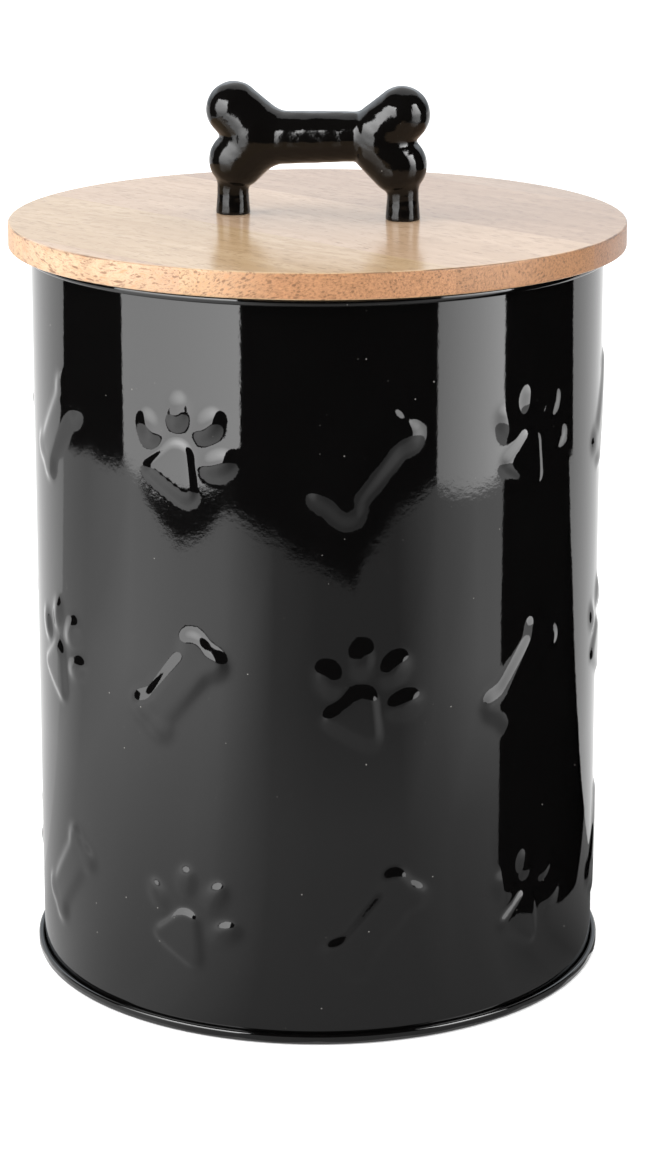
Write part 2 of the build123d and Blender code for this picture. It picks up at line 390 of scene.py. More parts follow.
def wood_look(name, pale, deep, end, shift):
    """Lacquered wood. Its pattern is solid: dashes along the grain, dots on end grain."""
    look = Look(name, IOR=1.4)
    object_place = look.place.outputs["Object"]
    turned = look.node(
        "Mapping",
        {"vector_type": "POINT"},
        Vector=object_place,
        Rotation=(0.0, 0.0, -math.radians(STAVE_ANGLE + 90)),
        Location=shift,
    ).outputs["Vector"]
    slow = look.stretch(turned, (9.0, 24.0, 24.0))
    sway = look.node("TexNoise", Vector=slow, Scale=1.0, Detail=1.0)
    bent = look.node("VectorMath", {"operation": "MULTIPLY_ADD"})
    look.tree.links.new(sway.outputs["Color"], bent.inputs[0])
    bent.inputs[1].default_value = (0.0, 0.022, 0.022)
    look.tree.links.new(turned, bent.inputs[2])
    grain = bent.outputs[0]

    rings = look.noise(1.0, 2.0, look.stretch(grain, (10.0, 170.0, 110.0)))
    flecks = look.noise(1.0, 4.0, look.stretch(grain, (150.0, 300.0, 300.0)), 0.7)
    grit = look.noise(1.0, 3.0, look.stretch(grain, (260.0, 1250.0, 1250.0)), 0.7)
    blotch = look.noise(1.0, 3.0, look.stretch(grain, (22.0, 50.0, 50.0)))
    pore_spot, pore_kind = look.cells(1.0, look.stretch(grain, (150.0, 800.0, 800.0)))
    picked = look.node("SeparateColor", Color=pore_kind).outputs["Red"]
    size = look.spread(picked, 0.25, 1.0, 0.0, 0.42)
    pore = look.spread(look.math("SUBTRACT", size, pore_spot), 0.0, 0.12)

    facing = look.node("Mapping", {"vector_type": "NORMAL"}, Vector=look.place.outputs["Normal"])
    facing.inputs["Rotation"].default_value = (0.0, 0.0, -math.radians(STAVE_ANGLE + 90))
    along = look.node("SeparateXYZ", Vector=facing.outputs["Vector"]).outputs["X"]
    cut_across = look.spread(look.math("MULTIPLY", along, along), 0.02, 0.4)
    height = look.node("SeparateXYZ", Vector=look.place.outputs["Normal"]).outputs["Z"]
    on_rim = look.spread(look.math("MULTIPLY", height, height), 0.3, 0.8, 1.0, 0.0)

    body = look.mix(look.spread(rings, 0.34, 0.66, 0.0, 0.75), pale, deep)
    body = look.mix(look.spread(blotch, 0.35, 0.7, 0.0, 0.6), body, deep)
    speck = [channel * 0.86 for channel in deep]
    body = look.mix(look.spread(flecks, 0.48, 0.66, 0.0, 0.8), body, speck)
    body = look.mix(look.math("MULTIPLY", cut_across, on_rim), body, end)
    dark = [channel * 0.45 for channel in end]
    light = [min(channel * 1.35, 0.9) for channel in end]
    dark_grit = look.spread(grit, 0.51, 0.66, 0.0, 0.8)
    body = look.mix(look.math("MULTIPLY", dark_grit, on_rim), body, dark)
    light_grit = look.spread(grit, 0.5, 0.32, 0.0, 0.8)
    body = look.mix(look.math("MULTIPLY", light_grit, on_rim), body, light)
    held = look.spread(on_rim, 0.0, 1.0, 0.30, 0.75)
    body = look.mix(look.math("MULTIPLY", pore, held), body, dark)
    # Painted shade: the corner between the top and the rim is darkened in patches, standing for the
    # dark studio that the rounded edge mirrors.
    in_plan = look.stretch(object_place, (1.0, 1.0, 0.0))
    away = look.node("VectorMath", {"operation": "LENGTH"}, Vector=in_plan).outputs["Value"]
    corner = look.spread(away, (LID_R - LID_EDGE) * MM, (LID_R - 0.35) * MM)
    corner = look.math("MULTIPLY", corner, look.spread(height, 0.25, 0.6))
    patchy = look.spread(look.noise(60.0, 4.0), 0.45, 0.62, 0.0, 0.75)
    painted_edge_shade = look.math("MULTIPLY", corner, patchy)
    look.colour(look.mix(painted_edge_shade, body, [channel * 0.3 for channel in end]))
    shine = look.spread(flecks, 0.3, 0.7, 0.13, 0.22)
    look.rough(look.math("ADD", shine, look.spread(on_rim, 0.0, 1.0, 0.0, 0.22)))
    swell = look.bump(rings, 0.00003)
    open_grain = look.math("MULTIPLY", look.math("ADD", grit, pore), on_rim)
    look.relief(look.bump(open_grain, -0.00003, swell))
    return look.material


def metal_look(name, tint, gloss):
    """Zinc plate: dull patches and fine scratches round the piece."""
    look = Look(name, Metallic=1.0)
    patches = look.noise(400.0, 4.0)
    dull = [channel * 0.72 for channel in tint]
    look.colour(look.mix(look.spread(patches, 0.35, 0.65), tint, dull))
    look.rough(look.spread(look.noise(900.0, 2.0), 0.3, 0.7, gloss, gloss + 0.18))
    look.relief(look.bump(look.noise(2500.0, 2.0), 0.000004))
    return look.material


def silicone_look(name):
    """Clear silicone: milky, soft and slightly dusty."""
    look = Look(name, IOR=1.41, Transmission_Weight=0.55)
    cloud = look.noise(120.0, 3.0)
    clear = (0.82, 0.84, 0.83)
    milky = (0.70, 0.73, 0.73)
    look.colour(look.mix(look.spread(cloud, 0.3, 0.7), clear, milky))
    look.rough(look.spread(look.noise(700.0, 3.0), 0.3, 0.7, 0.28, 0.42))
    look.relief(look.bump(look.noise(1500.0, 2.0), 0.000006))
    return look.material


ENAMEL_TINT = (0.0016, 0.0015, 0.0015)
ENAMEL_PEEL = (450.0, 0.000011)  # scale of the pattern, and its height in metres
ENAMEL_WAVE = (60.0, 0.000022)
CASTING_TINT = (0.0022, 0.0020, 0.0019)
CASTING_PEEL = (700.0, 0.000045)
CASTING_WAVE = (240.0, 0.00010)
enamel = enamel_look("black_enamel_finish", 1.5, ENAMEL_TINT, 0.025, ENAMEL_PEEL, ENAMEL_WAVE)
casting = enamel_look("black_casting_finish", 1.32, CASTING_TINT, 0.05, CASTING_PEEL, CASTING_WAVE)
zinc = metal_look("zinc_steel_finish", (0.62, 0.64, 0.66), 0.28)
silicone = silicone_look("clear_silicone_finish")

# Each stave is cut from its own board: pale and deep side grain, end grain, where it is cut.
STAVE_WOOD = (
    ((0.55, 0.385, 0.250), (0.44, 0.290, 0.175), (0.33, 0.150, 0.072), (0.31, 0.12, 0.05)),
    ((0.55, 0.395, 0.240), (0.45, 0.300, 0.165), (0.36, 0.174, 0.079), (0.00, 0.41, 0.15)),
    ((0.57, 0.405, 0.275), (0.46, 0.310, 0.195), (0.30, 0.145, 0.064), (0.53, 0.73, 0.27)),
    ((0.46, 0.315, 0.210), (0.37, 0.240, 0.155), (0.27, 0.135, 0.070), (0.77, 0.17, 0.33)),
    ((0.47, 0.335, 0.235), (0.38, 0.260, 0.175), (0.27, 0.140, 0.072), (0.19, 0.57, 0.45)),
)
PLUG_WOOD = ((0.47, 0.33, 0.19), (0.37, 0.24, 0.125), (0.42, 0.25, 0.12), (0.9, 0.3, 0.6))
plug_wood = wood_look("plug_wood_finish", *PLUG_WOOD)


# ------------------------------------------------------------------ embossed paws and bones
COMPASS = np.linspace(0, 2 * np.pi, 180, endpoint=False)
COMPASS_X = np.cos(COMPASS)
COMPASS_Y = np.sin(COMPASS)


def convex_distance(x, y, reach):
    """Distance to a convex outline, inside being negative, from its reach each way."""
    return (np.outer(x, COMPASS_X) + np.outer(y, COMPASS_Y) - reach).max(axis=1)


def paw_distance(x, y):
    reach = np.max([cx * COMPASS_X + cy * COMPASS_Y + r for cx, cy, r in PAD_CIRCLES], axis=0)
    found = convex_distance(x, y, reach)
    found = np.where(found < 0, found * PAD_STEEP, found)
    for angle, length in zip(TOE_ANGLES, TOE_REACHES):
        turn = math.radians(90 + angle)
        along = COMPASS_X * math.cos(turn) + COMPASS_Y * math.sin(turn)
        across = COMPASS_Y * math.cos(turn) - COMPASS_X * math.sin(turn)
        reach = length * along + np.hypot(TOE_HALF[0] * across, TOE_HALF[1] * along)
        found = soft_min(found, convex_distance(x, y, reach), TOE_BLEND)
    return found


def bone_distance(x, y):
    beyond_x = np.abs(x) - BONE_SPAN / 2
    beyond_y = np.abs(y) - SHAFT_W / 2
    shaft = np.hypot(np.maximum(beyond_x, 0), np.maximum(beyond_y, 0))
    shaft = shaft + np.minimum(np.maximum(beyond_x, beyond_y), 0)
    knuckles = np.hypot(beyond_x, np.hypot(y, KNUCKLE_MERGE) - KNUCKLE_APART / 2) - KNUCKLE_R
    found = soft_min(shaft, knuckles, SHAFT_BLEND)
    return np.where(found < 0, found * BONE_STEEP, found)


def outline_distance(angle, z):
    """Distance of points on the wall to the nearest paw or bone; angle is in the sector."""
    found = np.full(len(angle), 99.0)
    for row in range(3):
        for column in range(2):
            is_paw = (row + column) % 2 == 0
            turns = PAW_TURNS if is_paw else BONE_TURNS
            middle = COLUMN_STEP / 2 + COLUMN_STEP * column + turns[row]
            a = WALL_R * np.sin(np.radians(angle - middle))
            b = z - (PAW_HEIGHTS if is_paw else BONE_HEIGHTS)[row]
            near = np.hypot(a, b) < MOTIF_REACH
            tilt = math.radians(PAW_TILT if is_paw else BONE_TILT)
            x = a[near] * math.cos(tilt) + b[near] * math.sin(tilt)
            y = b[near] * math.cos(tilt) - a[near] * math.sin(tilt)
            if is_paw:
                distance = paw_distance(x, y + PAW_DROP)
            else:
                distance = bone_distance(x, y)
            found[near] = np.minimum(found[near], distance)
    return found


def boss_height(angle, z):
    rise = (SHOULDER_OUT - outline_distance(angle, z)) / SHOULDER_W
    return BOSS_H * soft_step(rise)


SECTOR = 360.0 / SECTORS
MAP_STEP = 0.4
MAP_ROUND = round(math.radians(SECTOR) * WALL_R / MAP_STEP)
MAP_UP = round(RIM_Z / MAP_STEP)
PRESS_SOFT = 1.1  # how far the press rounds off every crease


def pressed_maps():
    """The embossing's height over one sector, softened, and its slopes round and up."""
    angle, z = np.meshgrid(
        np.arange(MAP_ROUND) / MAP_ROUND * SECTOR, np.arange(MAP_UP) * MAP_STEP, indexing="ij"
    )
    height = boss_height(angle.ravel(), z.ravel()).reshape(MAP_ROUND, MAP_UP)
    taps = np.arange(-8, 9)
    weights = np.exp(-0.5 * (taps * MAP_STEP / PRESS_SOFT) ** 2)
    weights = weights / weights.sum()
    for axis in (0, 1):
        height = sum(weight * np.roll(height, tap, axis) for tap, weight in zip(taps, weights))
    round_slope, up_slope = [
        (np.roll(height, -1, axis) - np.roll(height, 1, axis)) / (2 * MAP_STEP) for axis in (0, 1)
    ]
    return height, round_slope, up_slope


def read_map(chart, angle, z):
    """A map's value at each point, between the four map points round it."""
    across = (angle / SECTOR * MAP_ROUND) % MAP_ROUND
    up = np.clip(z / MAP_STEP, 0, MAP_UP - 1.001)
    i = across.astype(int) % MAP_ROUND
    j = up.astype(int)
    on = (i + 1) % MAP_ROUND
    u = across - across.astype(int)
    v = up - j
    low = chart[i, j] * (1 - u) + chart[on, j] * u
    high = chart[i, j + 1] * (1 - u) + chart[on, j + 1] * u
    return low * (1 - v) + high * v


# ------------------------------------------------------------------ the wall of the tin
SECTOR_START = FIRST_COLUMN - COLUMN_STEP / 2
ACROSS = 144  # finest steps across a sector
WALL_Z = (1.8, CURL_MID_Z - 0.3)
FINE = math.radians(SECTOR) * WALL_R / ACROSS
UP = 6 * round((WALL_Z[1] - WALL_Z[0]) / (6 * FINE * math.sqrt(0.75)))


def sector_grid(fine_shoulders):
    """A triangular grid over one sector, fine on the shoulders and coarse on plain wall."""
    i, j = [part.ravel() for part in np.meshgrid(np.arange(ACROSS), np.arange(UP + 1))]
    twice = (2 * i + j) % (2 * ACROSS)
    angle = twice / (2 * ACROSS) * SECTOR
    z = WALL_Z[0] + (WALL_Z[1] - WALL_Z[0]) * j / UP
    away = outline_distance(angle, z)
    kept = (i % 6 == 0) & (j % 6 == 0)
    kept |= (i % 2 == 0) & (j % 2 == 0) & (away < (3.5 if fine_shoulders else 1.0))
    if fine_shoulders:
        kept |= (away > -6.0) & (away < 0.9)
    left_edge = kept & (twice == 0)
    angle = np.concatenate([angle[kept], np.full(left_edge.sum(), SECTOR)])
    z = np.concatenate([z[kept], z[left_edge]])
    places = [Vector((a, b)) for a, b in zip(np.radians(angle) * WALL_R, z)]
    made = delaunay_2d_cdt(places, [], [], 0, 1e-6)
    first = [indices[0] for indices in made[3]]
    return angle[first], z[first], [tuple(face) for face in made[2]]


def wall_side(fine_shoulders, inside):
    """One face of the wall all the way round, as parts for weld()."""
    angle, z, faces = sector_grid(fine_shoulders)
    rise, slope_round, slope_up = [read_map(chart, angle, z) for chart in PRESSED]
    lift = WALL_R - (SHEET if inside else 0)
    if inside:
        faces = [face[::-1] for face in faces]
    parts = []
    for sector in range(SECTORS):
        round_angle = SECTOR_START + SECTOR * sector + angle
        points = wrap(round_angle, lift + rise, z)
        out = wrap(round_angle, 1.0, 0 * z)
        ahead = wrap(round_angle + 90, 1.0, 0 * z)
        normals = out - ahead * slope_round[:, None] - np.outer(slope_up, (0, 0, 1))
        normals = normals / np.linalg.norm(normals, axis=1)[:, None]
        parts.append((points, faces, -normals if inside else normals))
    return parts


def strip_angles(row):
    """Angles of the coarse grid's points in its bottom or top row, all the way round."""
    i = np.arange(0, ACROSS, 6)
    twice = np.sort((2 * i + row) % (2 * ACROSS))
    one = twice / (2 * ACROSS) * SECTOR
    return np.concatenate([SECTOR_START + SECTOR * sector + one for sector in range(SECTORS)])


PRESSED = pressed_maps()
wall_middle = WALL_R - SHEET / 2
curl_turn = np.radians(np.linspace(180, -180 + CURL_END, 34))
curl_path = np.column_stack([
    CURL_MID_R + (CURL_R - SHEET / 2) * np.cos(curl_turn),
    CURL_MID_Z + (CURL_R - SHEET / 2) * np.sin(curl_turn),
])
rim_path = np.vstack([[(wall_middle, WALL_Z[1])], curl_path])
hook_path = rounded(
    [(wall_middle, WALL_Z[0]), (wall_middle, 0.8), (103.25, 0.8), (103.25, 2.65)], 0.5
)
wall_parts = wall_side(True, False) + wall_side(False, True)
wall_parts.append(lathe(sheet_section(rim_path), strip_angles(UP), False))
wall_parts.append(lathe(sheet_section(hook_path), strip_angles(0), False))
add_piece("tin_wall", *weld(wall_parts), "bin", "black_enamel", enamel, ["bin_shell"])

# The lock seam: a flat fold down the back, with rounded long edges and pressed-down ends.
lock_x = np.array([-3.0, -2.96, -2.84, -2.65, -2.4, -1.6, 0, 1.6, 2.4, 2.65, 2.84, 2.96, 3.0])
lock_edge = np.sqrt(np.clip(1 - np.clip((np.abs(lock_x) - 2.4) / 0.6, 0, 1) ** 2, 0, 1))
lock_ease = np.array([0.0, 0.05, 0.2, 0.5, 1.0, 1.7, 2.6, 4.0])
lock_z = np.concatenate(
    [LOCK_Z[0] + lock_ease, np.linspace(12, 250, 40), (LOCK_Z[1] - lock_ease)[::-1]]
)
lock_fade = soft_step((np.minimum(lock_z - LOCK_Z[0], LOCK_Z[1] - lock_z) + 0.6) / 3.4)
lock_low = WALL_R - SHEET / 2
lock_points = []
for height, fade in zip(lock_z, lock_fade):
    tops = lock_low + (LOCK_TOP_R - lock_low) * lock_edge * fade
    degrees = LOCK_ANGLE + np.degrees(lock_x / WALL_R)
    lock_points.append(wrap(degrees, tops, np.full(len(lock_x), height)))
lock_width = len(lock_x)
lock_rows = len(lock_z)
lock_points = np.vstack(lock_points)
lock_faces = []
for row in range(lock_rows - 1):
    for column in range(lock_width - 1):
        corner = row * lock_width + column
        lock_faces.append((corner, corner + 1, corner + lock_width + 1, corner + lock_width))
    first = row * lock_width
    last = first + lock_width - 1
    lock_faces.append((first, first + lock_width, last + lock_width, last))
lock_faces.append(tuple(range(lock_width - 1, -1, -1)))
lock_faces.append(tuple((lock_rows - 1) * lock_width + column for column in range(lock_width)))
lock_mesh = bpy.data.meshes.new("tin_lock_seam")
lock_mesh.from_pydata((lock_points * MM).tolist(), [], lock_faces)
lock_mesh.update()
lock_mesh.shade_smooth()
lock_mesh.materials.append(enamel)
lock_seam = bpy.data.objects.new("tin_lock_seam", lock_mesh)
bpy.context.scene.collection.objects.link(lock_seam)
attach(lock_seam, "bin")

# ------------------------------------------------------------------ the base
ROUND = np.linspace(0, 360, 240, endpoint=False)
pan_path = rounded(
    [
        (0.0, 4.25), (77.2, 4.25), (77.8, 3.45), (82.2, 3.45), (82.8, 4.25), (101.2, 4.25),
        (101.2, 0.25), (SEAM_OUT - 0.25, 0.25), (SEAM_OUT - 0.25, 3.15), (102.5, 3.15),
        (102.5, 1.2),
    ],
    0.55,
)
base_parts = lathe(sheet_section(pan_path), ROUND, False)
add_piece("tin_base", *weld([base_parts]), "bin", "black_enamel", enamel, ["base_pan"])


# ------------------------------------------------------------------ the lid's staves
def stave_piece(number):
    """One glued board of the lid: a slice of a round board with a rounded rim."""
    low = STAVE_JOINTS[number - 2] if number > 1 else -LID_R - 1
    high = STAVE_JOINTS[number - 1] if number < 5 else LID_R + 1
    edge = rounded(
        [(LID_R - 3, LID_LOW), (LID_R, LID_LOW), (LID_R, LID_TOP), (LID_R - 3, LID_TOP)],
        LID_EDGE, 7,
    )
    edge_out = -sideways(edge)
    ring = len(edge)
    arc_steps = 150
    levels = []
    spokes = []
    for r, z in edge:
        far = math.degrees(math.acos(np.clip(low / r, -1, 1)))
        near = math.degrees(math.acos(np.clip(high / r, -1, 1)))
        if near < 1e-6:
            degrees = np.linspace(-far, far, 2 * arc_steps)
        elif far > 180 - 1e-6:
            degrees = np.linspace(near, 360 - near, 2 * arc_steps)
        else:
            one = np.linspace(near, far, arc_steps)
            degrees = np.concatenate([one, 360 - one[::-1]])
        turn = np.radians(degrees + STAVE_ANGLE)
        levels.append(np.column_stack([r * np.cos(turn), r * np.sin(turn), np.full(len(turn), z)]))
        spokes.append(np.column_stack([np.cos(turn), np.sin(turn)]))
    count = 2 * arc_steps
    points = np.vstack(levels)
    across = np.array([math.cos(math.radians(STAVE_ANGLE)), math.sin(math.radians(STAVE_ANGLE)), 0])
    single = not (near > 1e-6 and far < 180 - 1e-6)
    cuts = {count - 1} if single else {arc_steps - 1, count - 1}
    faces = []
    corner_normals = []
    for level in range(ring - 1):
        for step in range(count):
            beside = (step + 1) % count
            corners = (
                (level, step), (level, beside), (level + 1, beside), (level + 1, step),
            )
            faces.append([a * count + b for a, b in corners])
            if step in cuts:
                middle = points[faces[-1]].mean(axis=0) @ across
                side = 1 if middle > (low + high) / 2 and number < 5 or number == 1 else -1
                corner_normals += [tuple(side * across)] * 4
            else:
                for a, b in corners:
                    flat = edge_out[a][0]
                    corner_normals.append((*(spokes[a][b] * flat), edge_out[a][1]))
    faces.append(list(range(count - 1, -1, -1)))
    corner_normals += [(0, 0, -1)] * count
    faces.append([(ring - 1) * count + step for step in range(count)])
    corner_normals += [(0, 0, 1)] * count
    look = wood_look(f"stave_{number}_finish", *STAVE_WOOD[number - 1])
    add_piece(
        f"stave_{number}", points, faces, corner_normals, "lid", "stave_wood", look,
        [f"lid_stave_{number}"],
    )


for number in range(1, 6):
    stave_piece(number)

# The gasket: a ring in the plug's groove with a soft lip that wipes the tin's mouth.
plug_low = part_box("lid_plug")[0]
groove = plug_low.z / MM + 2.5
gasket_section = rounded(
    [
        (98.4, groove + 0.5), (GASKET_TIP, groove + 3.0), (GASKET_TIP - 0.5, groove + 3.8),
        (98.4, groove + 2.3), (98.4, groove + 3.95), (GROOVE_FLOOR + 0.05, groove + 3.95),
        (GROOVE_FLOOR + 0.05, groove + 0.05), (98.4, groove + 0.05), (98.4, groove + 0.45),
    ],
    0.3, 4,
)
add_piece(
    "lid_seal", *weld([lathe(gasket_section, ROUND, True)]), "lid", "clear_silicone", silicone,
    ["lid_gasket"],
)


# ------------------------------------------------------------------ the bone handle
def knuckle(x, y, h, level):
    """Distance to a knuckle: a ball that grows out of the bar's end, lower 0 or upper 1."""
    step_x = LOBE_X[level] - ROOT_X
    step_h = LOBE_H[level] - ROOT_H[level]
    share = ((x - ROOT_X) * step_x + (h - ROOT_H[level]) * step_h) / (step_x**2 + step_h**2)
    share = np.clip(share, 0, 1)
    radius = ROOT_R[level] + (LOBE_R[level] - ROOT_R[level]) * share
    off_x = x - ROOT_X - step_x * share
    off_h = h - ROOT_H[level] - step_h * share
    return np.sqrt(off_x**2 + y**2 + off_h**2) - radius


def handle_distance(points):
    """Distance to the handle's surface; points are in mm, with heights from the lid."""
    x = np.abs(points[:, 0])
    y = points[:, 1]
    h = points[:, 2]
    ends = soft_min(knuckle(x, y, h, 0), knuckle(x, y, h, 1), 1.4)
    along = points[:, 0]
    off_axis = np.hypot(y, h - BAR_H - BAR_CLIMB * along) - (BAR_R - BAR_TAPER * along)
    past_end = x - BAR_HALF
    bar = np.minimum(np.maximum(off_axis, past_end), 0)
    bar = bar + np.hypot(np.maximum(off_axis, 0), np.maximum(past_end, 0))
    body = soft_min(ends, bar, np.where(points[:, 0] < 0, 2.6, 0.9))
    neck_r = FOOT_R + (NECK_R - FOOT_R) * np.clip(h / NECK_H, 0, 1)
    neck = np.maximum(np.hypot(x - FOOT_X, y) - neck_r, h - LOBE_H[0])
    body = soft_min(body, neck, 1.3)
    lumps = np.sin(points @ (0.61, 0.35, 0.23) + 1.0) * np.sin(points @ (-0.27, 0.72, 0.31) + 2.1)
    finer = np.sin(points @ (0.93, -0.41, 0.72) + 0.4) * np.sin(points @ (0.2, 0.8, -1.05))
    lumps = lumps + 0.6 * finer
    body = body + LUMP_H * lumps * soft_step(h / 5)
    return -soft_min(-body, h, 0.7)


def slope_of(points):
    nudge = 0.02
    found = np.empty_like(points)
    for axis in range(3):
        step = np.zeros(3)
        step[axis] = nudge
        rise = handle_distance(points + step) - handle_distance(points - step)
        found[:, axis] = rise / (2 * nudge)
    return found


ROUGH_ROUND = np.linspace(0, 360, 40, endpoint=False)


def rough_handle():
    """The handle's overlapping round forms as one closed skin of even quads."""
    rough = bpy.data.meshes.new("handle_rough")
    forms = []
    for side in (-1, 1):
        for x, h, radius in zip(LOBE_X, LOBE_H, LOBE_R):
            forms.append(("ball", (side * x, h, radius + 0.3)))
        forms.append(("ball", (side * ROOT_X, BAR_H, ROOT_R[1] + 0.8)))
        forms.append(("post", (side * FOOT_X, 0.0, LOBE_H[0], FOOT_R + 0.2)))
    points = []
    faces = []
    for kind, size in forms:
        start = sum(len(part) for part in points)
        if kind == "ball":
            x, h, radius = size
            rise = np.radians(np.linspace(-90, 90, 25))
            section = np.column_stack([radius * np.cos(rise), radius * np.sin(rise) + h])
        else:
            x, low, high, radius = size
            section = np.array([(0, low), (radius, low), (radius, high), (0, high)])
        section[np.abs(section[:, 0]) < 1e-6, 0] = 0
        made, quads, _ = weld([lathe(section, ROUGH_ROUND, False)])
        points.append(made + (x, 0, 0))
        faces += [[index + start for index in quad] for quad in quads]
    start = sum(len(part) for part in points)
    reach = LOBE_X[1]
    section = np.array([(0, -reach), (BAR_R, -reach), (BAR_R, reach), (0, reach)], float)
    made, quads, _ = weld([lathe(section, ROUGH_ROUND, False)])
    points.append(np.column_stack([made[:, 2], made[:, 0], made[:, 1] + BAR_H]))
    faces += [[index + start for index in quad] for quad in quads]
    rough.from_pydata((np.vstack(points) * MM).tolist(), [], faces)
    holder = bpy.data.objects.new("handle_rough", rough)
    bpy.context.scene.collection.objects.link(holder)
    skin = holder.modifiers.new("skin", "REMESH")
    skin.mode = "VOXEL"
    skin.voxel_size = 0.8 * MM
    made = holder.evaluated_get(bpy.context.evaluated_depsgraph_get()).to_mesh()
    points = np.array([vertex.co for vertex in made.vertices]) / MM
    faces = [list(polygon.vertices) for polygon in made.polygons]
    bpy.data.objects.remove(holder)
    return points, faces


handle_points, handle_faces = rough_handle()
for _ in range(7):
    slope = slope_of(handle_points)
    far = handle_distance(handle_points) / np.maximum((slope * slope).sum(axis=1), 0.2)
    handle_points = handle_points - slope * np.clip(far, -1.5, 1.5)[:, None]
handle_normals = slope_of(handle_points)
handle_normals = handle_normals / np.linalg.norm(handle_normals, axis=1)[:, None]
handle_points[:, 2] = np.clip(handle_points[:, 2], 0.0, cad_high.z / MM - LID_TOP)
add_piece(
    "handle_casting", handle_points + (0, 0, LID_TOP), handle_faces, handle_normals, "lid",
    "black_casting", casting, ["bone_handle"],
)

# ------------------------------------------------------------------ pieces carried over
CARRIED = {
    "rim_wire": ("zinc_steel", zinc),
    "lid_plug": ("plug_wood", plug_wood),
    "handle_screw_left": ("zinc_steel", zinc),
    "handle_screw_right": ("zinc_steel", zinc),
    "handle_washer_left": ("zinc_steel", zinc),
    "handle_washer_right": ("zinc_steel", zinc),
}
for name, (slot, look) in CARRIED.items():
    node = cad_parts[name]
    node.data.materials.clear()
    node.data.materials.append(look)

# ------------------------------------------------------------------ the studio
VIEW_TURN = 13.0  # the camera stands this far round from the front, towards +X
VIEW_BACK = 1.125
VIEW_HEIGHT = 0.463
VIEW_PITCH = 13.5
VIEW_SENSOR = 36.0
VIEW_LENS = 100.0
VIEW_SHIFT = (0.0161, -0.126)  # frames the bin at that pitch
FLOOR_R = 9.0
FLOOR_WHITE = 0.9
FLOOR_GLOW = 0.3  # the floor is also lit a little from below
SKY_GLOW = 1.5
KEY_AT = (-1.47, -0.26, 0.70)
KEY_AIM_H = 0.27  # it points at the tin's axis, at the height of the lid
KEY_SIZE = 1.3
KEY_POWER = 22.0


def studio_point(x, y, z=0.0):
    """A point given as the camera sees it: X to its right, Y away from it."""
    turn = math.radians(VIEW_TURN)
    return (
        x * math.cos(turn) - y * math.sin(turn),
        x * math.sin(turn) + y * math.cos(turn),
        z,
    )


def studio_spoke(degrees, radius, z=0.0):
    turn = math.radians(degrees)
    return studio_point(radius * math.sin(turn), -radius * math.cos(turn), z)


def studio_sheet(name, points, faces, look):
    mesh = bpy.data.meshes.new(name)
    mesh.from_pydata(points, [], faces)
    mesh.materials.append(look)
    sheet = bpy.data.objects.new(name, mesh)
    bpy.context.scene.collection.objects.link(sheet)
    return sheet


def glow_look(name, colour):
    """Light of one colour, as strong as the sheet's own glow at each of its points."""
    look = bpy.data.materials.new(name)
    look.use_nodes = True
    look.node_tree.nodes.clear()
    strength = look.node_tree.nodes.new("ShaderNodeAttribute")
    strength.attribute_name = "glow"
    glow = look.node_tree.nodes.new("ShaderNodeEmission")
    glow.inputs["Color"].default_value = (*colour, 1.0)
    end = look.node_tree.nodes.new("ShaderNodeOutputMaterial")
    look.node_tree.links.new(strength.outputs["Fac"], glow.inputs["Strength"])
    look.node_tree.links.new(glow.outputs[0], end.inputs["Surface"])
    return look


white_glow = glow_look("studio_white_glow", (1.0, 1.0, 1.0))
cool_glow = glow_look("studio_cool_glow", (0.88, 0.94, 1.0))


def reflected_card(name, points, faces, glow, look=white_glow):
    """A sheet that only reflections see, as studio cards outside the picture are."""
    card = studio_sheet(name, points, faces, look)
    strength = card.data.attributes.new("glow", "FLOAT", "POINT")
    strength.data.foreach_set("value", glow)
    card.visible_camera = False
    card.visible_diffuse = False
    card.visible_transmission = False
    card.visible_volume_scatter = False
    card.visible_shadow = False
    return card


paper = bpy.data.materials.new("studio_paper")
paper.use_nodes = True
paper.node_tree.nodes.clear()
paper_face = paper.node_tree.nodes.new("ShaderNodeBsdfDiffuse")
paper_face.inputs["Color"].default_value = (FLOOR_WHITE, FLOOR_WHITE, FLOOR_WHITE, 1.0)
paper_lit = paper.node_tree.nodes.new("ShaderNodeEmission")
paper_lit.inputs["Strength"].default_value = FLOOR_GLOW
paper_both = paper.node_tree.nodes.new("ShaderNodeAddShader")
paper_end = paper.node_tree.nodes.new("ShaderNodeOutputMaterial")
paper.node_tree.links.new(paper_face.outputs[0], paper_both.inputs[0])
paper.node_tree.links.new(paper_lit.outputs[0], paper_both.inputs[1])
paper.node_tree.links.new(paper_both.outputs[0], paper_end.inputs["Surface"])
floor_points = [studio_spoke(degrees, FLOOR_R, -0.0002) for degrees in range(0, 360, 5)]
studio_sheet("studio_floor", floor_points, [list(range(len(floor_points)))], paper)

# The paper in front of and beside the tin, by direction: where it ends, and how bright
# its reflection is beside the tin, part of the way out, and at its end.
PAPER = (
    (-117.5, 0.875, 0.66, 1.10, 0.80), (-99, 0.880, 0.62, 0.95, 1.00),
    (-75, 0.883, 0.78, 1.35, 2.00), (-65, 0.785, 0.80, 1.40, 2.05),
    (-52.5, 0.720, 0.83, 1.40, 1.95), (-43, 0.745, 0.90, 1.42, 1.90),
    (-35, 0.800, 0.88, 1.30, 1.80), (-31, 0.800, 0.80, 1.12, 1.55),
    (-15.6, 0.748, 0.52, 0.65, 0.58), (0, 0.700, 0.49, 0.56, 0.38),
    (13.5, 0.660, 0.47, 0.54, 0.36), (17.5, 0.713, 0.47, 0.54, 0.36),
    (29.4, 0.800, 0.46, 0.54, 0.36), (45.3, 0.866, 0.42, 0.70, 1.00),
    (62, 0.860, 0.22, 0.75, 1.55), (75, 0.850, 0.10, 0.75, 1.55), (119, 0.850, 0.06, 0.60, 1.20),
)
PAPER_NEAR = 0.106  # radii of the rings that the glow is given at
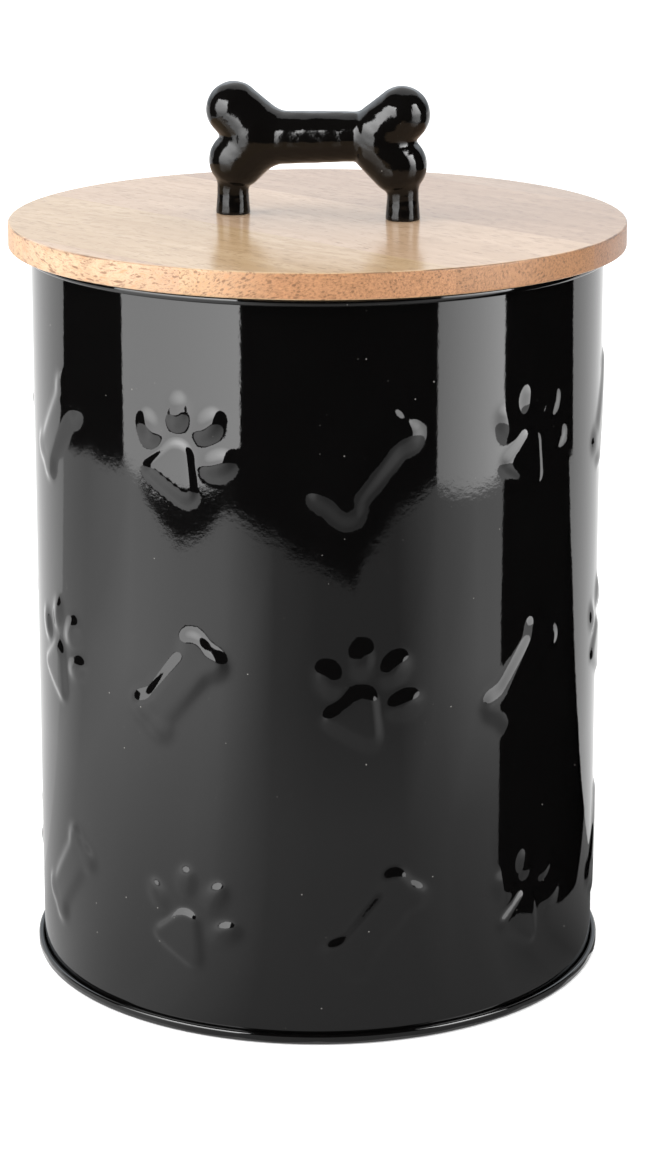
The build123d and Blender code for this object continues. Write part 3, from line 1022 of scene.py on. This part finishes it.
PAPER_MIDDLE = 0.30
PAPER_FAR = 0.50
ROOM_R = 1.6  # the dark room beyond the paper
ROOM_H = 1.5

ring_points = []
for degrees, end, *_ in PAPER:
    ring_points.append(studio_spoke(degrees, end, 0.0005))
    ring_points.append(studio_spoke(degrees, ROOM_R, 0.0005))
    ring_points.append(studio_spoke(degrees, ROOM_R, ROOM_H))
    ring_points.append(studio_spoke(degrees, 0.02, ROOM_H))
ring_faces = []
for step in range(len(PAPER) - 1):
    corner = 4 * step
    for side in range(3):
        ring_faces.append((corner + side, corner + side + 1, corner + side + 5, corner + side + 4))
reflected_card("studio_room", ring_points, ring_faces, [0.0] * len(ring_points))

glow_points = []
glow_values = []
for degrees, end, near, middle, far in PAPER:
    for radius, value in ((PAPER_NEAR, near), (PAPER_MIDDLE, middle), (PAPER_FAR, far), (end, far)):
        glow_points.append(studio_spoke(degrees, radius, 0.0004))
        glow_values.append(value)
reflected_card("studio_paper_seen", glow_points, ring_faces, glow_values)

# The paper behind the tin, which only its edges mirror.
behind_points = []
behind_values = []
for degrees in np.linspace(PAPER[-1][0], PAPER[0][0] + 360, 32):
    for radius, value in ((PAPER_NEAR, 0.8), (PAPER_MIDDLE, 1.2), (4.0, 1.45)):
        behind_points.append(studio_spoke(degrees, radius, 0.0004))
        behind_values.append(value)
behind_faces = []
for corner in range(0, len(behind_points) - 3, 3):
    for ring in (0, 1):
        start = corner + ring
        behind_faces.append((start, start + 1, start + 4, start + 3))
reflected_card("studio_paper_behind", behind_points, behind_faces, behind_values)

# Each panel's ends in plan, its glow there, and how much stronger it is at each height. The
# tin's wall mirrors only the lowest part, the handle and the embossing the upper parts too.
PANEL_HEIGHTS = (0.001, 0.14, 0.30, 0.50, 0.90)
LIGHT_PANELS = {
    "studio_panel_left": (
        (-0.869, -0.170), (-0.443, -0.811), (3.8, 5.5), (1.0, 1.0, 1.6, 2.6, 4.0),
    ),
    "studio_panel_right": (
        (0.606, -0.599), (0.819, -0.223), (3.0, 5.8), (1.0, 1.0, 1.5, 3.0, 5.0),
    ),
}
for name, (start, end, (start_glow, end_glow), gains) in LIGHT_PANELS.items():
    panel_points = []
    panel_glow = []
    for height, gain in zip(PANEL_HEIGHTS, gains):
        panel_points += [studio_point(*start, height), studio_point(*end, height)]
        panel_glow += [start_glow * gain, end_glow * gain]
    panel_faces = [(i, i + 1, i + 3, i + 2) for i in range(0, len(panel_points) - 2, 2)]
    reflected_card(name, panel_points, panel_faces, panel_glow)

# The cooler wall behind, by height and glow: the lid's top mirrors its lower part, and the
# handle's upper edges its brighter upper part.
BACK_WALL = ((0.3, 0.95), (0.7, 0.95), (0.9, 1.9), (ROOM_H, 2.4))
back_points = []
back_glow = []
for degrees in range(120, 238, 9):
    for height, value in BACK_WALL:
        back_points.append(studio_spoke(degrees, ROOM_R, height))
        back_glow.append(value)
back_faces = []
for corner in range(0, len(back_points) - len(BACK_WALL), len(BACK_WALL)):
    for level in range(len(BACK_WALL) - 1):
        low = corner + level
        back_faces.append((low, low + len(BACK_WALL), low + len(BACK_WALL) + 1, low + 1))
reflected_card("studio_back", back_points, back_faces, back_glow, cool_glow)

# The main light stands to the left, and gives the rim its brighter side.
key_data = bpy.data.lights.new("key_light", "AREA")
key_data.shape = "SQUARE"
key_data.size = KEY_SIZE
key_data.energy = KEY_POWER
key = bpy.data.objects.new("key_light", key_data)
bpy.context.scene.collection.objects.link(key)
key.location = studio_point(*KEY_AT)
key_aim = studio_point(KEY_AT[0], KEY_AT[1], KEY_AT[2] - KEY_AIM_H)
key.rotation_euler = Vector(key_aim).to_track_quat("Z", "Y").to_euler()
key.visible_camera = False
key.visible_glossy = False

# A dark card on the floor to the right, which keeps that side of the wall black.
SIDE_CARD = (
    (0.161, -0.099), (1.44, -0.34), (1.25, 0.38), (1.12, 0.50), (0.489, 0.258),
    (0.285, 0.159), (0.181, 0.101), (0.150, 0.02),
)
side_points = [studio_point(x, y, 0.001) for x, y in SIDE_CARD]
side_face = tuple(range(len(side_points)))
reflected_card("studio_side", side_points, [side_face], [0.0] * len(side_points))

scene = bpy.context.scene
scene.view_settings.view_transform = "Standard"
world = bpy.data.worlds.new("studio_sky")
world.use_nodes = True
sky = world.node_tree.nodes["Background"]
sky.inputs["Color"].default_value = (1.0, 1.0, 1.0, 1.0)
sky.inputs["Strength"].default_value = SKY_GLOW
scene.world = world

camera_data = bpy.data.cameras.new("camera")
camera_data.sensor_width = VIEW_SENSOR
camera_data.lens = VIEW_LENS
camera_data.shift_x = VIEW_SHIFT[0]
camera_data.shift_y = VIEW_SHIFT[1]
camera_data.clip_start = 0.01
camera_data.clip_end = 50.0
camera = bpy.data.objects.new("camera", camera_data)
scene.collection.objects.link(camera)
camera.location = studio_point(0.0, -VIEW_BACK, VIEW_HEIGHT)
camera.rotation_euler = (math.radians(90 - VIEW_PITCH), 0.0, math.radians(VIEW_TURN))
scene.camera = camera
